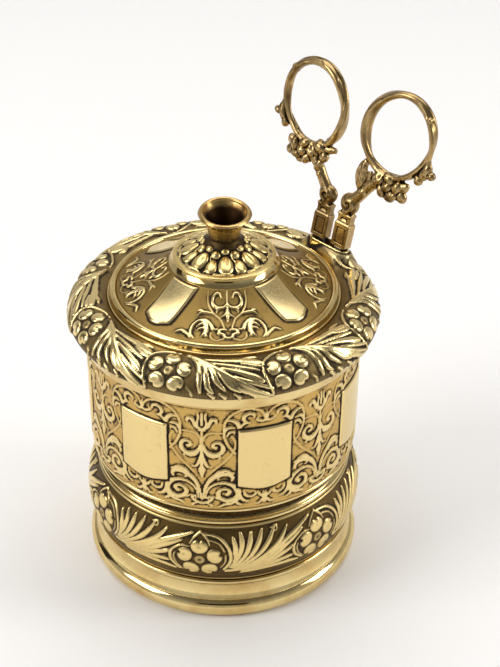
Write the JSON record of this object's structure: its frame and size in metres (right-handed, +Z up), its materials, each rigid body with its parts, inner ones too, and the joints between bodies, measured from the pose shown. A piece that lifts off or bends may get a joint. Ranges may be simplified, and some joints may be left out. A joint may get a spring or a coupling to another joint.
{
  "type": "string box",
  "caption": "Round chased brass string box with a lift-off domed lid, a trumpet string spout and a pair of ornate scissors standing in a slot in the lid.",
  "frame": {"origin": "middle of the foot, on the surface the box stands on", "axes": "+Z up along the box's axis and the spout's bore; -Y is the front, and the scissors stand at the back right, towards +X and +Y"},
  "size_m": [0.109, 0.0944, 0.1536],
  "materials": {
    "polished_brass": "polished, warm gold, darker in the grooves",
    "chased_brass": "chased and gilt, with a dark brown patina in the ground and bright rubbed highs",
    "cast_brass": "cast and chased, brown patina with worn highs",
    "plain_brass": "plain rolled brass, dulled",
    "steel": "ground blades, darkened with age"
  },
  "bodies": {
    "box": {"foot_ring": "polished_brass", "bottom_plate": "plain_brass", "base_moulding": "polished_brass", "base_band": "chased_brass", "waist_moulding": "polished_brass", "body_wall": "chased_brass"},
    "lid": {"lid_band": "polished_brass", "lid_rim": "chased_brass", "dome_ring": "polished_brass", "lid_dome": "chased_brass", "spout_collar": "polished_brass", "spout_plate": "chased_brass", "spout": "polished_brass", "spout_washer": "plain_brass", "spout_nut": "plain_brass", "slot_collar": "chased_brass", "sheath": "plain_brass"},
    "pivot": {"pivot_screw": "steel"},
    "left_half": {"left_blade": "steel", "left_handle": "cast_brass"},
    "right_half": {"right_blade": "steel", "right_handle": "cast_brass"}
  },
  "joints": [
    {"name": "lid_lift", "type": "slide", "parent": "box", "child": "lid", "axis": [0, 0, 1], "range_m": [0, 0.055]},
    {"name": "scissors_draw", "type": "slide", "parent": "lid", "child": "pivot", "axis": [0.1581, 0.0884, 0.9835], "range_m": [0, 0.062]},
    {"name": "left_half_turn", "type": "hinge", "parent": "pivot", "child": "left_half", "pos_m": [0.0311, 0.02087, 0.0857], "axis": [-0.6841, -0.7084, 0.1736], "range_deg": [0, 8.2]},
    {"name": "right_half_turn", "type": "hinge", "parent": "pivot", "child": "right_half", "pos_m": [0.0311, 0.02087, 0.0857], "axis": [-0.6841, -0.7084, 0.1736], "range_deg": [-8.2, 0]}
  ],
  "couplings": [
    {"joint": "left_half_turn", "follows": "scissors_draw", "rad_per_m": 2.25},
    {"joint": "right_half_turn", "follows": "scissors_draw", "rad_per_m": -2.25}
  ]
}
